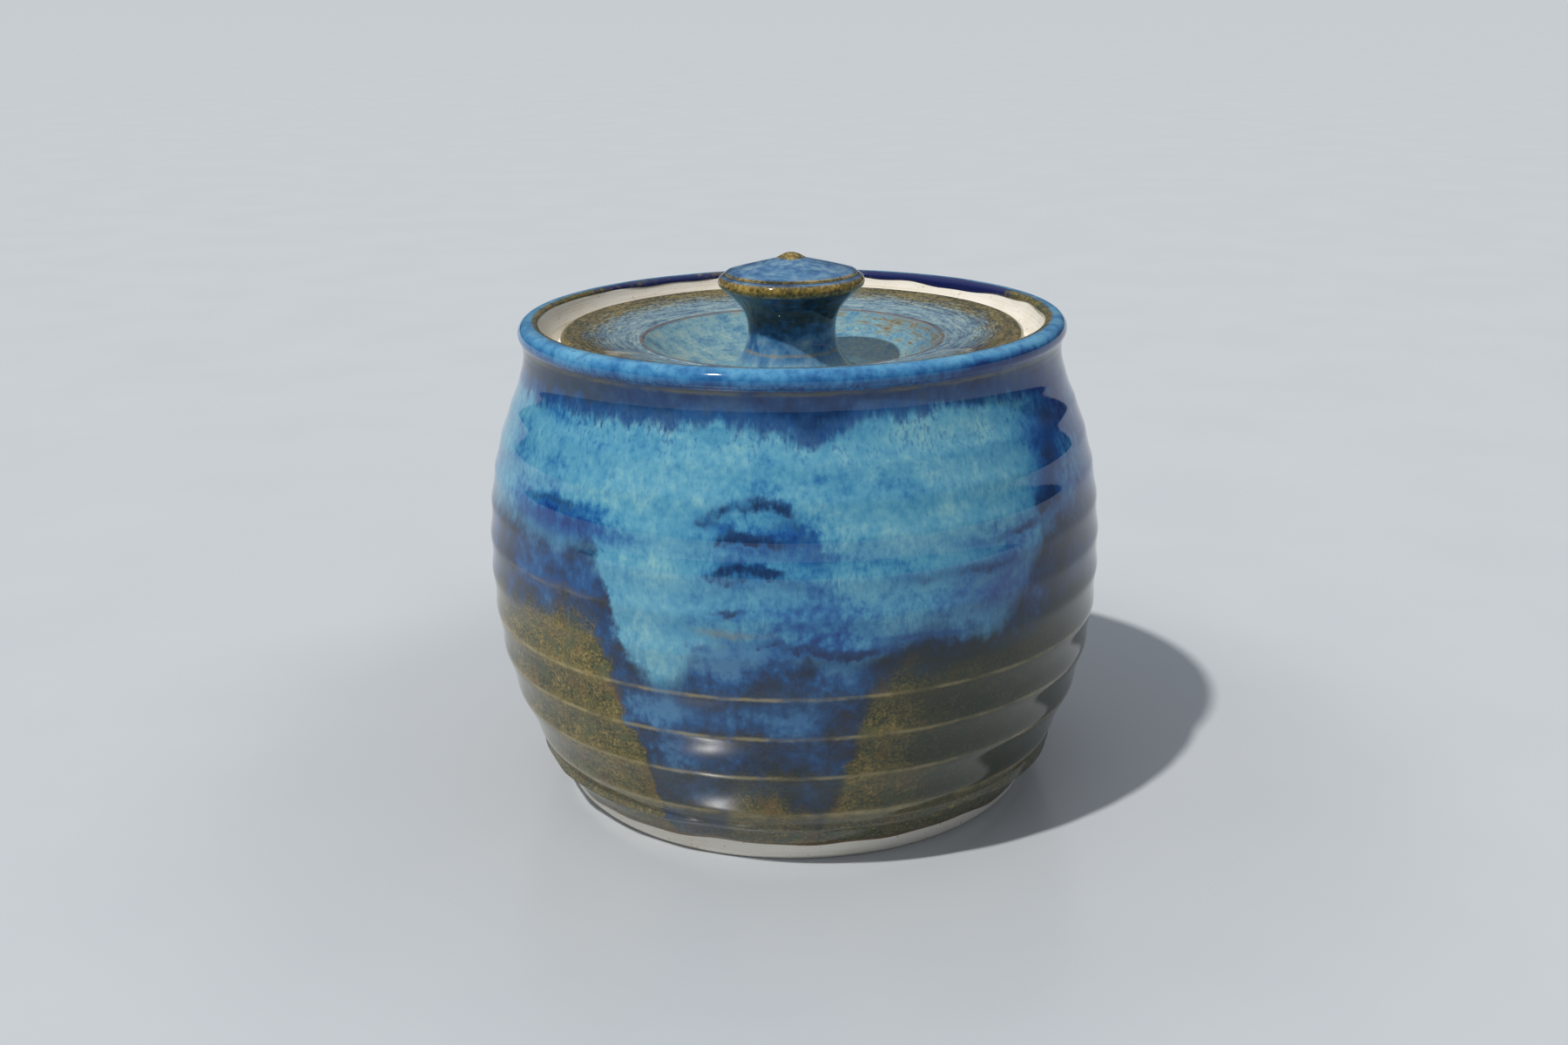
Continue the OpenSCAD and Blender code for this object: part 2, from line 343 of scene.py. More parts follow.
# %% [markdown]
# ## The lid
# The lid is a shallow bowl with a knob in its middle. Its clay shows only at the seat,
# its coat covers the top and the knob, and a second coat lines its underside. They get no
# wander, because the lid has to sit level on its ledge, and only the coat on top is eased.

# %% Turn the lid's pieces
def lid_piece(name, node, cuts=0, passes=0):
    """A piece of the lid, turned from its CAD outline and eased where that is asked."""
    bm = half_outline(node)
    ease(bm, cuts, passes)
    turn(bm)
    for v in bm.verts:
        v.co.x *= round_fit
        v.co.y *= round_fit
    return piece_of(bm, name, node, "lid")


lid_clay = lid_piece("lid_clay", "lid_plate")
knob_clay = lid_piece("knob_clay", "lid_knob")
lid_coat = lid_piece("lid_coat", "lid_glaze", cuts=1, passes=2)
lid_under_coat = lid_piece("lid_under_coat", "lid_under_glaze")
CAP_FROM = 117 * MM
cap = [v.co.x for v in lid_coat.data.vertices if v.co.z > CAP_FROM]
print("knob cap radius in mm", round(max(cap) / MM, 2))

# %% [markdown]
# ## Writing materials as sums
# A glaze is easiest to think of as sums: so much blue here, less on a crest, a little
# more in a streak. Nodes could be added and linked one by one, but that would bury the sum.
# One small class wraps a node's output, so that ordinary Python sums add the Math nodes,
# and one method adds any other node.

# %% A value that changes over the surface
class Field:
    """The output of a node, usable in plain sums."""

    def __init__(self, tree, socket=None):
        self.tree, self.socket = tree, socket

    def node(self, kind, settings=None, sockets=None, out=0):
        """Adds a node: its settings first, then the values or links of its sockets."""
        made = self.tree.nodes.new("ShaderNode" + kind)
        for name, value in (settings or {}).items():
            if name == "stops":
                lay_stops(made.color_ramp, value)
            elif name == "easing":
                made.color_ramp.interpolation = value
            else:
                setattr(made, name, value)
        for name, value in (sockets or {}).items():
            if isinstance(value, Field):
                self.tree.links.new(value.socket, made.inputs[name])
            else:
                made.inputs[name].default_value = value
        return Field(self.tree, made.outputs[out])

    def sum(self, operation, *values):
        """Adds a Math node over fields or numbers."""
        return self.node("Math", {"operation": operation}, dict(enumerate(values)))

    def __add__(self, other):
        return self.sum("ADD", self, other)

    def __radd__(self, other):
        return self.sum("ADD", other, self)

    def __sub__(self, other):
        return self.sum("SUBTRACT", self, other)

    def __rsub__(self, other):
        return self.sum("SUBTRACT", other, self)

    def __mul__(self, other):
        return self.sum("MULTIPLY", self, other)

    def __rmul__(self, other):
        return self.sum("MULTIPLY", other, self)

    def __truediv__(self, other):
        return self.sum("DIVIDE", self, other)

    def __abs__(self):
        return self.sum("ABSOLUTE", self)

    def rise(self, low, high):
        """0 below low, 1 above high, and an S between them."""
        ends = {"Value": self, "From Min": low, "From Max": high}
        return self.node("MapRange", {"interpolation_type": "SMOOTHSTEP"}, ends)

    def fall(self, low, high, top=1.0):
        """top below low, 0 above high, and an S between them."""
        ends = {"Value": self, "From Min": low, "From Max": high, "To Min": top, "To Max": 0.0}
        return self.node("MapRange", {"interpolation_type": "SMOOTHSTEP"}, ends)

    def between(self, low, high, soft):
        """1 from low to high, fading to 0 over soft on both sides."""
        return self.rise(low - soft, low + soft) * (1 - self.rise(high - soft, high + soft))

    def ramp(self, stops, easing="LINEAR"):
        """Colours or numbers laid along this value."""
        return self.node("ValToRGB", {"stops": stops, "easing": easing}, {0: self})

    def mix(self, low, high):
        """The colour low where this value is 0, high where it is 1."""
        return self.node("Mix", {"data_type": "RGBA"}, {0: self, 6: low, 7: high}, out=2)


def lay_stops(ramp, stops):
    """Puts a ramp's stops in place; a stop is a place from 0 to 1 and a colour or number."""
    while len(ramp.elements) < len(stops):
        ramp.elements.new(1.0)
    for element, (place, value) in zip(ramp.elements, stops):
        element.position = place
        element.color = value if isinstance(value, tuple) else (value, value, value, 1.0)


def colour(red, green, blue):
    """A colour as the eye reads it from 0 to 255, turned into Blender's linear light."""
    def linear(c):
        c = c / 255
        return c / 12.92 if c <= 0.04045 else ((c + 0.055) / 1.055) ** 2.4
    return (linear(red), linear(green), linear(blue), 1.0)


# %% [markdown]
# ## Where a point is on the pot
# A potter thinks in bearings round the pot and heights above the floor. Object
# coordinates give both, because the pieces sit at the origin. All lengths in the
# materials are in millimetres.

# %% Points, heights and bearings
def new_finish(name):
    """A new material with its Principled shader, and a Field to start sums from."""
    finish = bpy.data.materials.new(name)
    finish.use_nodes = True
    return finish, finish.node_tree.nodes["Principled BSDF"], Field(finish.node_tree)


def point_in_mm(start):
    """The point on the piece, in mm."""
    metres = start.node("TexCoord", out="Object")
    return start.node("VectorMath", {"operation": "SCALE"}, {0: metres, "Scale": 1 / MM})


def around(point):
    """A point's height and distance from the axis in mm, and its bearing in degrees."""
    x, y, z = (point.node("SeparateXYZ", {}, {0: point}, out=axis) for axis in "XYZ")
    squares = x * x + y * y
    radius = squares.sum("SQRT", squares)
    bearing = x.sum("ARCTAN2", x, 0 - y) * math.degrees(1)
    return z, radius, bearing


# %% [markdown]
# Nothing that comes out of a kiln is one colour or quite smooth. Pictures could be wrapped
# round the pot for that, but noise is sharp at any distance and has no seam. So one helper
# makes noise whose patches have a size in mm, and three more put fields on a shader and a
# finish on its pieces.

# %% Grain, relief and dressing
def grain(point, across, up, detail=2.0, shift=0.0, rough=0.5):
    """Soft noise whose patches are about across wide and up high, in mm."""
    scaled = point.node(
        "VectorMath", {"operation": "MULTIPLY_ADD"},
        {0: point, 1: (1 / across, 1 / across, 1 / up), 2: (shift, shift * 1.7, shift * 0.6)},
    )
    sockets = {"Vector": scaled, "Scale": 1.0, "Detail": detail, "Roughness": rough}
    return point.node("TexNoise", {}, sockets)


def feed(shader, name, field):
    """Links a field to one of the shader's sockets."""
    field.tree.links.new(field.socket, shader.inputs[name])


def relief(shader, height):
    """Bumps the surface by a height in mm."""
    bump = height.node("Bump", {}, {"Height": height, "Distance": MM, "Strength": 1.0})
    feed(shader, "Normal", bump)


def dress(finish, *pieces):
    """Puts a finish on pieces, and says so."""
    for made in pieces:
        made.data.materials.append(finish)
    print(finish.name, "of", len(finish.node_tree.nodes), "nodes on", [made.name for made in pieces])


# %% [markdown]
# ## Bare clay
# The foot and the gallery are bare stoneware: cream, matt and a little sandy, with fine
# level lines from the trimming tool and a few iron specks. The lines are noise that is
# stretched level and squeezed in height.

# %% Clay finish
clay_finish, shader, start = new_finish("bare_stoneware")
point = point_in_mm(start)
sand = grain(point, 0.5, 0.5, detail=3.0)
cloud = grain(point, 9.0, 5.0, shift=4.0)
tool_lines = grain(point, 40.0, 0.35, detail=2.0, shift=9.0)
speck = grain(point, 0.9, 0.9, detail=1.0, shift=21.0).rise(0.70, 0.76)
body_colour = (cloud * 0.6 + sand * 0.4).ramp([
    (0.25, colour(230, 222, 204)), (0.5, colour(242, 237, 226)), (0.8, colour(246, 242, 234)),
])
body_colour = (tool_lines.rise(0.54, 0.68) * 0.5).mix(body_colour, colour(216, 202, 178))
feed(shader, "Base Color", (speck * 0.55).mix(body_colour, colour(134, 96, 62)))
feed(shader, "Roughness", 0.62 + 0.25 * sand)
relief(shader, 0.03 * sand + 0.05 * tool_lines)
dress(clay_finish, jar_clay, lid_clay, knob_clay)

# %% [markdown]
# ## Olive glaze
# The first dip is an olive-gold iron glaze: brown where it is thin, green and dark where
# it is thick, mottled with rust and gold and pricked with pinholes. It lines the jar and
# shows through on the lower belly, so it is written once as a function.

# %% Olive mottle
def olive_mottle(point):
    """The colours of the olive glaze over the surface."""
    broad = grain(point, 14.0, 10.0, detail=3.0, shift=2.0)
    patch = grain(point, 3.2, 2.0, detail=4.0, shift=7.0, rough=0.6)
    fine = grain(point, 0.7, 0.6, detail=3.0, shift=13.0, rough=0.6)
    mottled = (broad * 0.3 + patch * 0.45 + fine * 0.9 - 0.325).ramp([
        (0.32, colour(42, 46, 28)), (0.42, colour(66, 68, 38)), (0.50, colour(92, 86, 45)),
        (0.57, colour(110, 97, 52)), (0.67, colour(146, 128, 74)),
    ])
    green = grain(point, 6.0, 4.0, detail=2.0, shift=31.0).rise(0.52, 0.66)
    mottled = (green * 0.6).mix(mottled, colour(70, 84, 56))
    rust = grain(point, 4.0, 7.0, detail=3.0, shift=37.0).rise(0.54, 0.66)
    mottled = (rust * 0.45).mix(mottled, colour(118, 84, 42))
    prick = grain(point, 0.45, 0.45, detail=0.0, shift=41.0).rise(0.76, 0.82)
    return (prick * 0.4).mix(mottled, colour(176, 160, 110))


def glass_relief(shader, point, extra=0.0):
    """The faint waves and pits of a fired glass surface."""
    waves = 0.020 * grain(point, 5.0, 5.0, detail=1.0, shift=51.0)
    pits = 0.004 * grain(point, 0.7, 0.7, detail=1.0, shift=55.0)
    relief(shader, waves + pits + extra)


# %% Liner finish
olive_finish, shader, start = new_finish("olive_liner_glaze")
point = point_in_mm(start)
feed(shader, "Base Color", olive_mottle(point))
feed(shader, "Roughness", 0.10 + 0.10 * grain(point, 4.0, 4.0))
glass_relief(shader, point)
dress(olive_finish, jar_liner, lid_under_coat)

# %% [markdown]
# ## The blue pour
# The second glaze is poured over the olive. Where it is thick it is a milky turquoise,
# where it is thin it is a see-through cobalt wash, and where it broke over a finger ring
# it turns to navy. There is one colour scale for each of these and one for the bead of the
# rim, and noise walks up and down the scales, because on a real pot no patch is one colour.

# %% Scales of blue
def thick_blue(tone):
    """Turquoise, from its bluest at 0 to its milkiest at 1."""
    return tone.ramp([
        (0.0, colour(16, 50, 112)), (0.14, colour(26, 78, 140)), (0.30, colour(46, 110, 160)),
        (0.5, colour(76, 144, 176)), (0.70, colour(98, 160, 184)), (0.95, colour(130, 182, 190)),
    ])


def thin_blue(tone):
    """The wash, from navy at 0 to a dusty blue at 1."""
    return tone.ramp([
        (0.12, colour(12, 34, 66)), (0.38, colour(18, 58, 104)), (0.58, colour(28, 82, 134)),
        (0.88, colour(72, 122, 160)),
    ])


def broken_blue(depth):
    """A broken place, from blue at its edge to navy in its middle."""
    return depth.ramp([
        (0.1, colour(34, 98, 160)), (0.4, colour(28, 76, 134)), (0.7, colour(26, 60, 104)),
        (1.0, colour(22, 42, 82)),
    ])


def rim_blue(tone):
    """The clear azure of the rim's bead, from deep at 0 to pale at 1."""
    return tone.ramp([
        (0.05, colour(18, 54, 110)), (0.35, colour(36, 96, 150)), (0.6, colour(62, 130, 176)),
        (0.9, colour(100, 164, 196)),
    ])


print("scales of blue ready")

# %% [markdown]
# ## The pour's flow down the wall
# The pour came from above while the pot turned: it covers the shoulder, ends high at the
# left, leaves a long run left of the middle and a broad lobe to the right. Two lines of
# heights, given by bearing, say where the turquoise ends and where the last wash ends, and
# a third says how far the dark neck hangs down. A colour ramp along the bearing holds each
# line. The far side, which no photograph shows, gets two more runs of the same kind.

# %% Lines of the flow
TALLEST = 120
TURQUOISE_ENDS = [
    (-180, 70), (-165, 57), (-150, 55), (-135, 66), (-120, 78), (-90, 77), (-60, 75), (-38, 75),
    (-34.5, 70), (-32, 60), (-28.5, 51), (-24, 46.5), (-20, 49), (-17, 55), (-11, 59), (-4, 58),
    (1, 55.5), (8, 54.5), (12, 55.5), (16, 58), (22, 59.5), (28, 58.5), (33, 56), (37, 58),
    (41, 62.5), (45, 69.5), (48, 75), (66, 78), (104, 68), (130, 58), (155, 62), (180, 70),
]
WASH_ENDS = [
    (-180, 56), (-165, 40), (-155, 20), (-145, 30), (-135, 52), (-110, 60), (-60, 55.5), (-52, 57.5),
    (-42, 59.5), (-36, 58), (-34, 50), (-31.5, 42), (-29.5, 30), (-28, 8), (-16, 7), (-13.5, 14),
    (-12, 22), (-4, 22), (-2, 13), (5, 12), (8, 24), (10, 36), (12.5, 47), (18, 52),
    (30, 52.5), (36, 53.5), (45, 56), (75, 58), (100, 50), (118, 28), (136, 48), (180, 56),
]
NECK_STARTS = [
    (-180, 103), (-90, 102), (-50, 101.8), (-28, 102), (-10, 103.2), (-2, 102), (3, 99), (8, 101),
    (13, 104), (30, 104.6), (50, 104), (60, 103), (130, 101.5), (180, 103),
]


def round_the_pot(bearing, stops):
    """A height in mm that changes with the bearing, through (degrees, mm) stops."""
    laid = [((degrees + 180) / 360, mm / TALLEST) for degrees, mm in stops]
    return ((bearing + 180) / 360).ramp(laid, "EASE") * TALLEST


print("flow lines with", len(TURQUOISE_ENDS), len(WASH_ENDS), len(NECK_STARTS), "stops")

# %% [markdown]
# ## Noises of the pour
# Five noises do all the wandering: clouds, level bands left by the turning pot, runs that
# hang down the wall, a mist of fine bloom, and short dashes. Each is centred on zero, so
# it pushes both ways and leaves the mean colour where it is written.

# %% Clouds, bands, runs, mist and dashes
RING_PITCH = 10.0
pour_finish, shader, start = new_finish("poured_blue_glaze")
point = point_in_mm(start)
height, radius, bearing = around(point)
ring = start.node("Attribute", {"attribute_name": "ring"}, out="Fac")
hem = start.node("Attribute", {"attribute_name": "hem"}, out="Fac")
cloud = grain(point, 10.0, 9.0, detail=5.0, shift=61.0, rough=0.55) - 0.5
band = grain(point, 38.0, 8.0, detail=3.0, shift=65.0) - 0.5
run = grain(point, 3.2, 14.0, detail=4.0, shift=67.0, rough=0.6) - 0.5
mist = grain(point, 1.8, 2.2, detail=4.0, shift=73.0, rough=0.6) - 0.5
dash = grain(point, 0.7, 2.0, detail=2.0, shift=71.0) - 0.5
from_crest = (ring - ring.sum("ROUND", ring)) * RING_PITCH + 0.3 * cloud
print("noises of the pour:", len(pour_finish.node_tree.nodes), "nodes")

# %% [markdown]
# Thick and wash are masks with clouded edges, cut along the flow lines. The neck, the bead
# of the rim and the inner edge are masks by height and radius.

# %% Masks of the pour
BEAD_FOOT, BEAD_MIDDLE, CROWN = 108.7, 110.8, 60.9
way = bearing + 7.0 * cloud + 3.0 * mist
level = height + 6.0 * cloud + 4.0 * run + 3.5 * mist
thick = (level - round_the_pot(way, TURQUOISE_ENDS)).rise(-3.6, 4.0)
wash = (level - round_the_pot(way, WASH_ENDS)).rise(-5.0, 6.0)
neck_edge = height + 9.0 * run + 2.0 * dash + 3.0 * cloud - round_the_pot(bearing, NECK_STARTS)
neck = neck_edge.rise(-2.8, 3.2)
bead = (height + mist).rise(BEAD_FOOT, BEAD_FOOT + 0.7)
inside_rim = (CROWN - radius + 1.6 * mist).rise(0.0, 0.9) * height.rise(103.0, 105.0)
print("with the masks:", len(pour_finish.node_tree.nodes), "nodes")

# %% [markdown]
# ## Places
# A pour has milky places, bluer places and broken places, and the eye knows the jar by
# them. Each is a soft lens on the wall: its bearing and height, half its width in degrees,
# half its height in mm, and its strength. The point that is looked up is first bent by
# noise, so that no lens keeps a drawn edge.

# %% Soft lenses on the wall
FADED_AT = 1.5


def lenses(spot, places):
    """Adds up soft lenses round the given places."""
    total = 0
    for degrees, mm, wide, high, strength in places:
        off = spot.node(
            "VectorMath", {"operation": "MULTIPLY_ADD"},
            {0: spot, 1: (1 / wide, 1 / high, 0), 2: (-degrees / wide, -mm / high, 0)},
        )
        far = off.node("VectorMath", {"operation": "LENGTH"}, {0: off}, out="Value")
        total = total + far.fall(0.0, FADED_AT, strength)
    return total


def bent(bearing, height, by_cloud, by_mist):
    """The point on the wall as (degrees, mm), pushed about by noise."""
    return height.node("CombineXYZ", {}, {
        "X": bearing + 1.5 * by_cloud * run + 1.5 * by_mist * mist,
        "Y": height + by_cloud * cloud + by_mist * mist,
    })


# %% Milky and bluer places
MILKY = [
    (-25, 68, 6, 13, 0.8), (-30, 90, 12, 5, 0.4), (16, 95, 15, 3.5, 0.45), (22, 86, 18, 7, 0.5),
    (12, 80, 8, 6, 0.3), (4, 91, 8, 4, 0.3), (-22, 54, 5, 5, 0.4), (120, 84, 16, 10, 0.4),
    (-140, 82, 14, 12, 0.4), (160, 90, 14, 6, 0.3),
]
BLUER = [
    (-8, 77, 10, 11, 0.7), (1, 81, 5, 6, 0.45), (4, 75, 5, 6, 0.5), (4, 69, 6, 4, 0.5),
    (3, 63, 9, 5, 0.4), (-10, 61.5, 9, 2.5, 0.3), (6, 57, 9, 2.5, 0.6), (26, 64, 12, 6, 0.4),
    (38, 67, 10, 9, 0.75), (-46, 79.4, 15, 5, 1.15), (-52, 100, 14, 3, 0.6), (-25, 99, 14, 2.5, 0.3),
    (52, 90, 6, 9, 0.7), (12, 61, 7, 5, 0.35), (12, 75, 7, 5, 0.3), (37, 75, 7, 4, 0.55),
    (-40, 95, 10, 4, 0.25), (-110, 82, 16, 5, 0.7), (150, 72, 14, 6, 0.6), (-155, 66, 10, 6, 0.5),
]
soft_spot = bent(bearing, height, 6.0, 3.0)
milky = lenses(soft_spot, MILKY)
# Partly the glaze's navy and partly painted shade: the turquoise is made bluer and darker towards the
# right, away from the lamp.
right_navy_and_painted_shade = (bearing + 14.0 * cloud + 6.0 * mist).between(50.0, 108.0, 12.0)
bluer = lenses(soft_spot, BLUER) + 1.05 * right_navy_and_painted_shade
print("milky places:", len(MILKY), "bluer places:", len(BLUER))

# %% Broken places
BROKEN = [
    (-15.5, 83.2, 3, 2, 0.55), (-12, 85.6, 3.2, 1.7, 0.7), (-6.5, 87.2, 4.4, 1.7, 0.85),
    (-2, 85.8, 3, 2, 0.7), (1, 82, 2.8, 3.2, 0.55), (3.4, 77, 2.6, 4, 0.45),
    (-13, 80, 2.6, 1.4, 0.55), (-9.5, 80.9, 3.2, 1.7, 0.85), (-5.5, 80.3, 3.2, 1.6, 0.8),
    (-2.2, 79.5, 2.2, 1.3, 0.5), (-14.5, 72.8, 2.6, 1.5, 0.6), (-11, 74.2, 3, 1.6, 0.85),
    (-7, 73.7, 3.2, 2, 0.95), (-3.4, 73, 2.6, 1.6, 0.8), (-9.5, 71.4, 4, 1.3, 0.6),
    (-11, 76.6, 3, 1.4, 0.35), (-3.5, 77.4, 4, 1.5, 0.35), (-12, 82.6, 2.6, 1.2, 0.3),
    (-2.5, 82.8, 3, 1.2, 0.35), (-13, 69.6, 3, 1.2, 0.3), (-1, 70.8, 4, 1.6, 0.45),
    (-11, 65, 4, 1.3, 0.8), (-16, 57.5, 3, 1.3, 0.4), (-4, 58.4, 3.5, 1.4, 0.65),
    (1, 56.8, 4, 1.5, 0.95), (7, 55.6, 5, 1.5, 1.0), (12, 55.4, 3, 1.2, 0.7),
    (-47, 82.6, 11, 1.6, 0.65), (-40, 79.4, 7, 2.2, 0.45), (-52, 78.6, 6, 2.2, 0.4),
    (-56.5, 80, 1.8, 3, 0.4), (-46, 76.4, 11, 1.3, 0.35), (-46, 71.8, 12, 2.3, 0.25),
    (-44, 64.6, 11, 2, 0.45), (20, 70.6, 5, 1.9, 0.45), (31, 71, 7, 2, 0.6), (38, 70.2, 4, 1.4, 0.5),
    (33, 76, 9, 1.6, 0.35), (44, 76.6, 6, 1.5, 0.75), (51, 81, 6, 3.8, 1.0), (54, 88, 5, 4.6, 0.9),
    (57, 96, 5, 5, 0.7), (19, 58.6, 6, 1.1, 0.6), (27, 58, 5, 1.1, 0.5), (14, 56.2, 2, 1.4, 0.5),
    (86, 72, 13, 2.4, 0.5), (112, 64, 10, 2, 0.6), (150, 80, 12, 2.8, 0.7), (-150, 64, 10, 2, 0.6),
    (-120, 72, 14, 2.8, 0.6), (-95, 80, 12, 2.4, 0.6),
]
broken = lenses(bent(bearing, height, 5.0, 3.0), BROKEN)
broken = broken * (1.0 + 1.5 * mist + 0.9 * cloud + 0.7 * dash)
print("broken places:", len(BROKEN))

# %% [markdown]
# ## Laying the colours
# The colours go on in the order of the real layers, each mixed over the last by its mask.
# Olive comes first, gold near a crest, darker and greener towards the right by painted shade
# and painted dark reflection, and greyer close to the hem by a painted reflection of the floor.
# The wash comes over it, and where that is thinnest, on the crests, tan shows.

# %% Olive under everything
mottled = olive_mottle(point)
near_crest = abs(from_crest).fall(0.2, 2.6)
olive = (near_crest * (0.25 + 1.4 * mist)).mix(mottled, colour(146, 124, 62))
# Painted shade and painted dark reflection: the olive, the wash and the tan lines are darkened towards
# the right, the side away from the lamp.
right_painted_shade = (bearing + 16.0 * cloud).between(17.0, 112.0, 12.0) * (0.15 + 0.85 * height.rise(9.0, 18.0))
olive = (0.85 * right_painted_shade + 0.75 * wash).mix(olive, colour(32, 44, 34))
# Painted reflection of the pale floor: the olive turns greyer close to the hem.
olive = height.fall(11.0, 16.0, 0.22).mix(olive, colour(98, 108, 112))
print("with the olive:", len(pour_finish.node_tree.nodes), "nodes")

# %% Wash and tan crests
COBALT = [
    (-23, 40, 7, 7, 1.4), (-23, 31, 6, 5, 0.8), (-5, 41, 10, 5, 0.8), (-9, 55, 12, 4.5, 1.1),
    (-14, 50, 6, 4, 0.6), (5, 51, 8, 4, 0.3), (-40, 69, 8, 5, 0.5), (-55, 63, 8, 4, 0.5),
    (122, 42, 9, 12, 0.8), (-155, 38, 9, 14, 0.8),
]
cobalt = lenses(soft_spot, COBALT)
wash_share = 0.40 + 0.26 * height.rise(22.0, 33.0) + 0.24 * height.rise(44.0, 60.0) - 0.15 * near_crest
wash_share = wash * (wash_share + 0.35 * cobalt + 0.7 * mist + 0.9 * cloud)
# Painted shade: the wash is darker towards the right.
wash_tone = 0.38 - 0.1 * right_painted_shade + 0.38 * cobalt + 0.7 * mist + 0.3 * run + 1.3 * cloud
washed = wash_share.mix(olive, thin_blue(wash_tone))
thin_line = abs(from_crest + 0.5 * mist).fall(0.05, 0.75)
patchy = grain(point, 7.0, 3.0, detail=4.0, shift=91.0, rough=0.6).rise(0.36, 0.62)
# Painted shade: the tan lines are fainter towards the right.
tan_line = thin_line * (0.14 + 0.46 * patchy) * (1 - 0.35 * right_painted_shade) * height.fall(49.0, 55.0)
washed = tan_line.mix(washed, colour(174, 160, 116))
gold_break = thin_line * bearing.between(-62.0, -36.0, 4.0) * height.between(58.0, 68.0, 4.0) * patchy
washed = (gold_break * 0.6).mix(washed, colour(124, 108, 58))
print("cobalt places:", len(COBALT))

# %% [markdown]
# The thick blue covers the wash. Dark flecks lie in it, its lower edge turns to navy, and
# slate veils and short tan arcs show what is under it. The broken places come last.

# %% Turquoise
tone = 0.58 + 0.75 * cloud + 0.8 * band + 0.85 * mist + 0.25 * run + 0.26 * milky - 0.42 * bluer
shown = thick.mix(washed, thick_blue(tone))
fleck_share = 0.22 + 0.3 * height.rise(90.0, 102.0) + 0.3 * bluer
fleck = (dash + 0.5 * cloud).rise(0.06, 0.22) * thick * fleck_share
shown = fleck.mix(shown, colour(26, 84, 148))
edge = thick * (1 - thick) * 4.0
shown = (edge * edge * wash * (0.14 + 1.2 * mist)).mix(shown, colour(14, 38, 96))
print("with the turquoise:", len(pour_finish.node_tree.nodes), "nodes")

# %% Veils, arcs and breaks
VEILS = [
    (38, 66, 12, 10, 0.6), (20, 60, 10, 4, 0.25), (-10, 55, 9, 4, 0.35), (-100, 74, 20, 6, 0.5),
    (125, 64, 14, 6, 0.5),
]
TAN_ARCS = [
    (-11, 60.6, 6, 1.1, 0.8), (-45, 64, 8, 1.2, 0.5), (-42, 53.6, 6, 0.9, 0.8),
    (140, 57, 8, 1.2, 0.6),
]
veil = lenses(soft_spot, VEILS) * thick * (0.9 + 1.5 * mist)
shown = veil.mix(shown, colour(70, 98, 138))
tan_arc = lenses(bent(bearing, height, 4.0, 2.4), TAN_ARCS) * (0.5 + 1.6 * mist)
shown = tan_arc.mix(shown, colour(126, 112, 78))
shown = (broken.rise(0.0, 0.85) * 0.94).mix(shown, broken_blue(broken))
print("veils:", len(VEILS), "tan arcs:", len(TAN_ARCS))

# %% [markdown]
# Under the bead the pour is a dark neck that hangs down in short runs, greyed at the left by a
# painted reflection. The bead itself is a clear azure, paler on top by a painted highlight and
# darker at the right by painted shade, with a broken olive line at its foot and dark dabs along
# it. Inside the rim the coat ends in olive, or in cobalt where it drips at the back, and above
# the foot it ends in a brown line.

# %% Neck
NECK_TONES = [(4, 104, 6, 6, -0.1), (-15, 104.5, 7, 4, 0.35), (17, 104.5, 6, 4, 0.15)]
neck_tone = 0.5 + 1.3 * cloud + 0.6 * run + 0.3 * mist + lenses(soft_spot, NECK_TONES)
neck_colour = neck_tone.ramp([
    (0.2, colour(12, 34, 70)), (0.5, colour(24, 60, 104)), (0.8, colour(50, 82, 116)),
])
# Painted reflection: the neck is greyed at the left.
neck_painted_reflection = (bearing + 20.0 * cloud).fall(-46.0, -30.0) * (0.7 + 1.5 * mist)
neck_colour = neck_painted_reflection.mix(neck_colour, colour(44, 56, 68))
shown = neck.mix(shown, neck_colour)
shown = (neck * (1 - neck) * 2.6).mix(shown, colour(18, 56, 122))
print("places in the neck:", len(NECK_TONES))

# %% Bead of the rim
bead_line = (height + 0.8 * mist).between(BEAD_FOOT - 0.7, BEAD_FOOT, 0.45)
shown = (bead_line * (0.05 + 0.6 * patchy)).mix(shown, colour(108, 108, 80))
bead_dash = height.fall(109.6, BEAD_MIDDLE) * (dash + 0.7 * cloud).rise(0.0, 0.2)
# Painted shade: the lower bead is darker on the right, away from the lamp.
bead_painted_shade = (bearing + 10.0 * cloud).between(28.0, 100.0, 10.0) * height.fall(111.0, 112.8)
# Painted highlight: the bead's tone rises with height, so its top is paler.
bead_tone = 0.48 + 1.5 * cloud + 0.8 * mist + 0.5 * run + 0.08 * (height - BEAD_MIDDLE)
bead_tone = bead_tone - 0.3 * bead_dash - 0.4 * bead_painted_shade
bead_dab = (run + 0.8 * mist + 0.6 * cloud).rise(0.1, 0.26) * 0.5
shown = bead.mix(shown, bead_dab.mix(rim_blue(bead_tone), colour(28, 76, 140)))
print("with the bead:", len(pour_finish.node_tree.nodes), "nodes")

# %% Inner edge and hem
at_right, at_left = abs(bearing - BACK_RIGHT), abs(bearing - BACK_LEFT)
cobalt_edge = at_right.fall(14.0, 34.0) + at_left.fall(10.0, 30.0, 0.7)
cobalt_edge = (cobalt_edge + 1.6 * mist + cloud).rise(0.2, 0.7)
shown = inside_rim.mix(shown, cobalt_edge.mix(mottled, colour(16, 28, 84)))
brown_edge = 1 - (hem + 2.0 * mist).rise(0.25, 1.1)
shown = (brown_edge * 0.75).mix(shown, colour(104, 76, 44))
feed(shader, "Base Color", shown)
feed(shader, "Roughness", 0.03 + 0.06 * grain(point, 3.0, 5.0, shift=95.0))
glass_relief(shader, point, 0.02 * thick)
dress(pour_finish, jar_glaze)

